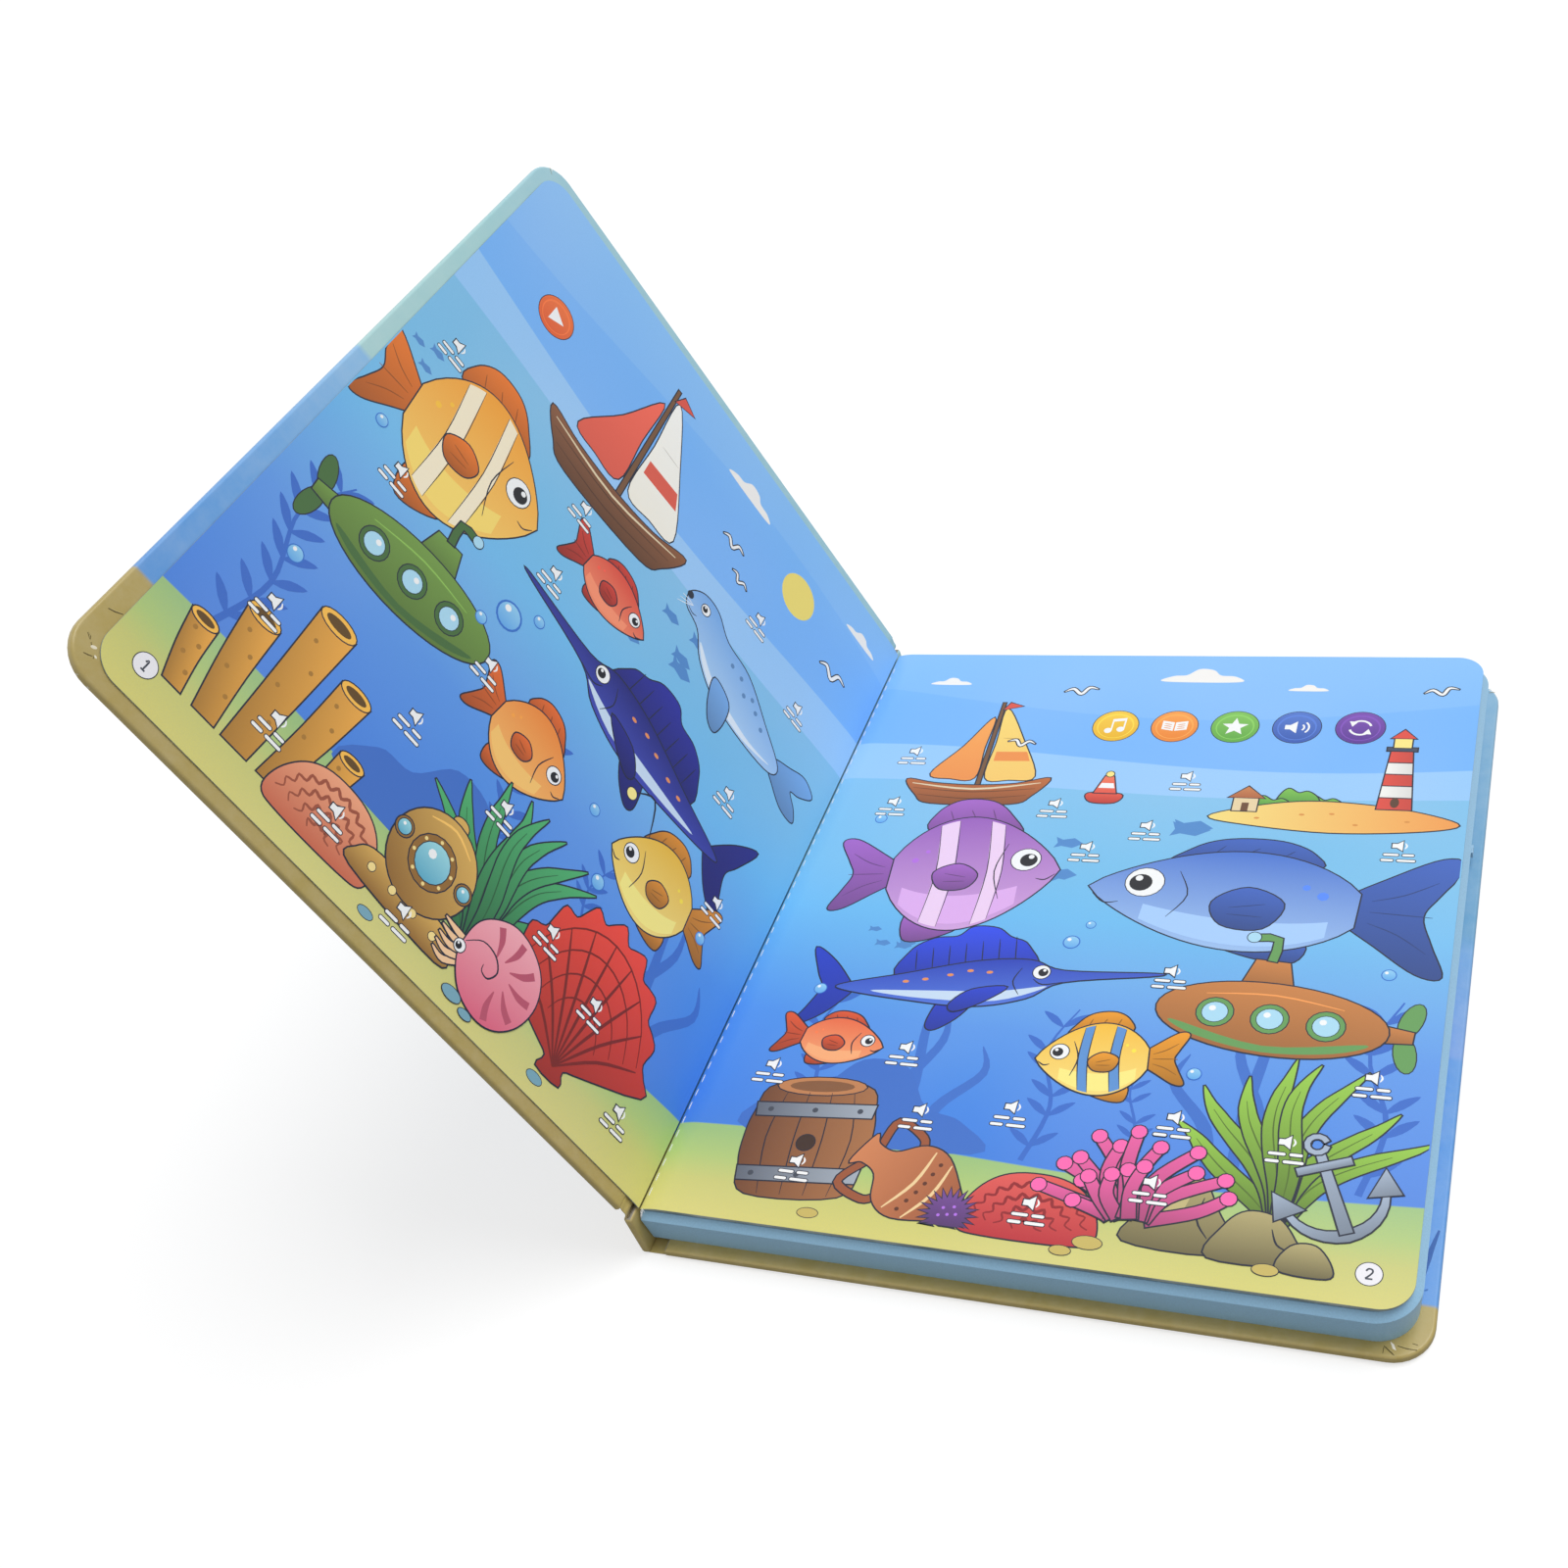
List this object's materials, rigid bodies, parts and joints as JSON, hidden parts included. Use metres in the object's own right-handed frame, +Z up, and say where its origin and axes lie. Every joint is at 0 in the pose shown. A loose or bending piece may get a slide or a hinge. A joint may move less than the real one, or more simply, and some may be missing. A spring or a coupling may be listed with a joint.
{
  "type": "electronic talking book",
  "caption": "Hard-cover children's sound book, lying open, with thin sewn leaves on a flat plastic sound module that has a slide switch and a battery bay.",
  "frame": {"origin": "centre of the underside of the back cover and spine, on the table", "axes": "+X from the spine to the fore-edge of the back cover, +Y from the tail to the head of the pages, +Z up out of page 2"},
  "size_m": [0.2674, 0.238, 0.2002],
  "materials": {
    "page_print": "printed, satin",
    "cover_wrap": "printed and laminated, worn at the corners",
    "grey_board": "raw",
    "module_plastic": "fine spark texture",
    "switch_plastic": "smooth",
    "clear_film": "smooth",
    "glue_film": "tacky",
    "circuit_board": "solder mask",
    "black_plastic": "moulded",
    "steel": "zinc plated",
    "cone_paper": "pressed",
    "cell_jacket": "plain printed jacket",
    "lead_sleeve": "smooth"
  },
  "bodies": {
    "root": {"back_cover_wrap": "cover_wrap", "back_board": "grey_board", "adhesive_sheet": "glue_film", "page_stack": "page_print", "base_shell": "module_plastic", "deck_shell": "module_plastic", "touch_film": "clear_film", "case_screw_1": "steel", "case_screw_2": "steel", "case_screw_3": "steel", "case_screw_4": "steel", "case_screw_5": "steel", "case_screw_6": "steel", "battery_door": "module_plastic", "battery_door_screw": "steel", "battery_cell_1": "cell_jacket", "battery_cell_2": "cell_jacket", "battery_cell_3": "cell_jacket", "battery_spring_1": "steel", "battery_spring_2": "steel", "battery_spring_3": "steel", "battery_contact_plate": "steel", "battery_spring_plate": "steel", "main_board": "circuit_board", "control_chip": "black_plastic", "film_connector": "black_plastic", "film_ribbon": "clear_film", "switch_housing": "black_plastic", "speaker_magnet": "steel", "speaker_frame": "steel", "speaker_cone": "cone_paper", "speaker_lead": "lead_sleeve", "battery_lead": "lead_sleeve"},
    "spine": {"spine_board": "grey_board", "spine_wrap": "cover_wrap"},
    "front_cover": {"page_1_sheet": "page_print", "front_cover_wrap": "cover_wrap", "front_board": "grey_board", "front_touch_film": "clear_film"},
    "power_switch": {"power_switch_knob": "switch_plastic"}
  },
  "joints": [
    {"name": "spine_hinge", "type": "hinge", "parent": "root", "child": "spine", "pos_m": [-0.09865, 0, 0.0003], "axis": [0, -1, 0], "range_deg": [-2.6, 1.75]},
    {"name": "cover_hinge", "type": "hinge", "parent": "spine", "child": "front_cover", "pos_m": [-0.0972, 0, 0.01579], "axis": [0, -1, 0], "range_deg": [-107.5, 71.8]},
    {"name": "power_switch_slide", "type": "slide", "parent": "root", "child": "power_switch", "axis": [0, 1, 0], "range_m": [-0.003, 0]}
  ],
  "couplings": [
    {"joint": "spine_hinge", "follows": "cover_hinge", "ratio": 0.024}
  ]
}
